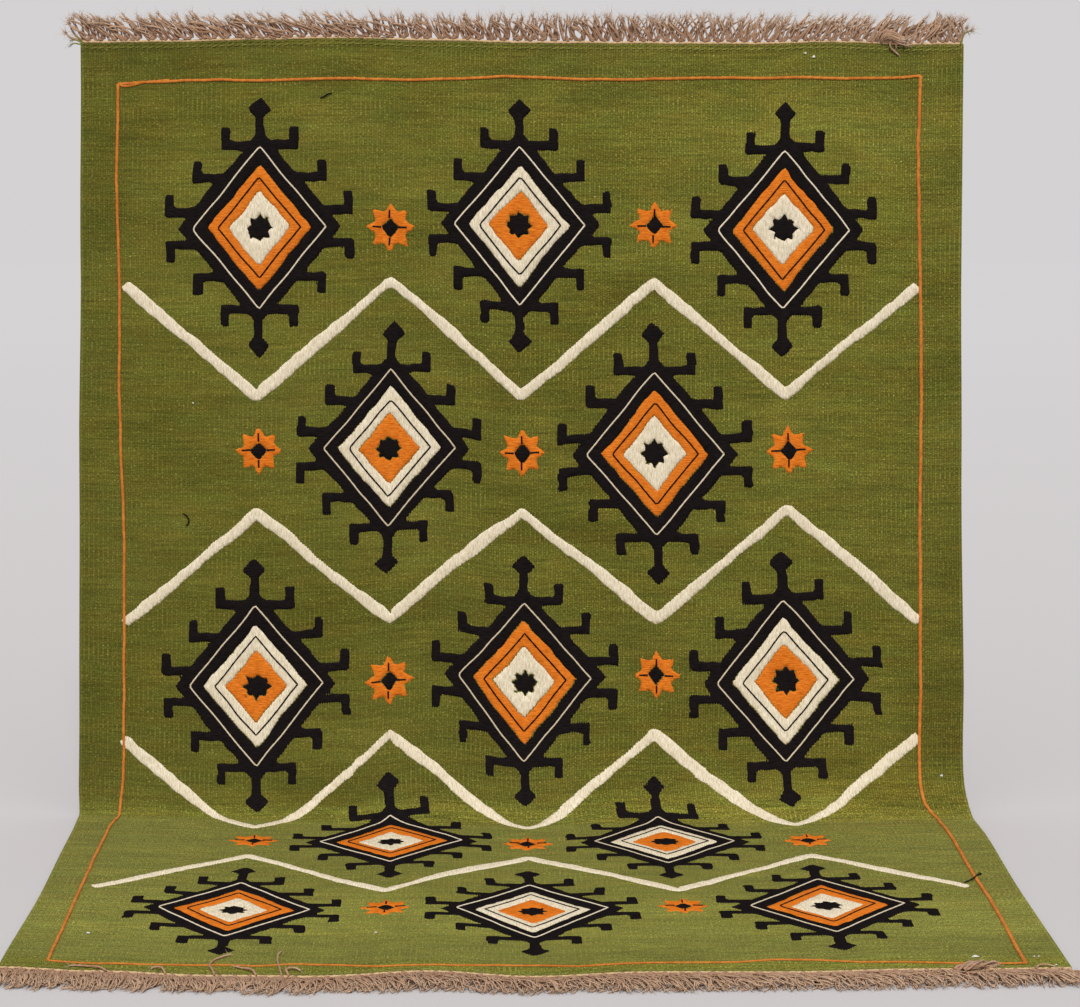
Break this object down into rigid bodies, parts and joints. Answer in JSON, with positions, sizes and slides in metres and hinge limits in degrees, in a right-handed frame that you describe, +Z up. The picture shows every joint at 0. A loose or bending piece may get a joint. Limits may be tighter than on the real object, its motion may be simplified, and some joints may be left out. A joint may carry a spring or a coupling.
{
  "type": "kilim",
  "caption": "Flat-woven wool kilim held at its top edge, sweeping forward onto the floor, with a fringe at each end.",
  "frame": {"origin": "middle of the kilim's box in plan, on the floor under it", "axes": "+X along the width, to the viewer's right; -Y towards the room, where the lower part lies; +Z up"},
  "size_m": [1.409, 1.0432, 1.2571],
  "materials": {
    "green_wool": "matt ribbed weft-faced wool, streaked by uneven dye",
    "warp_yarn": "matt twisted wool cords with frayed ends",
    "orange_wool": "matt hand-sewn wool",
    "black_wool": "matt fuzzy wool",
    "cream_wool": "matt undyed wool"
  },
  "bodies": {
    "root": {"kilim_cloth": "green_wool", "fringe_top": "warp_yarn", "fringe_bottom": "warp_yarn"}
  },
  "joints": []
}
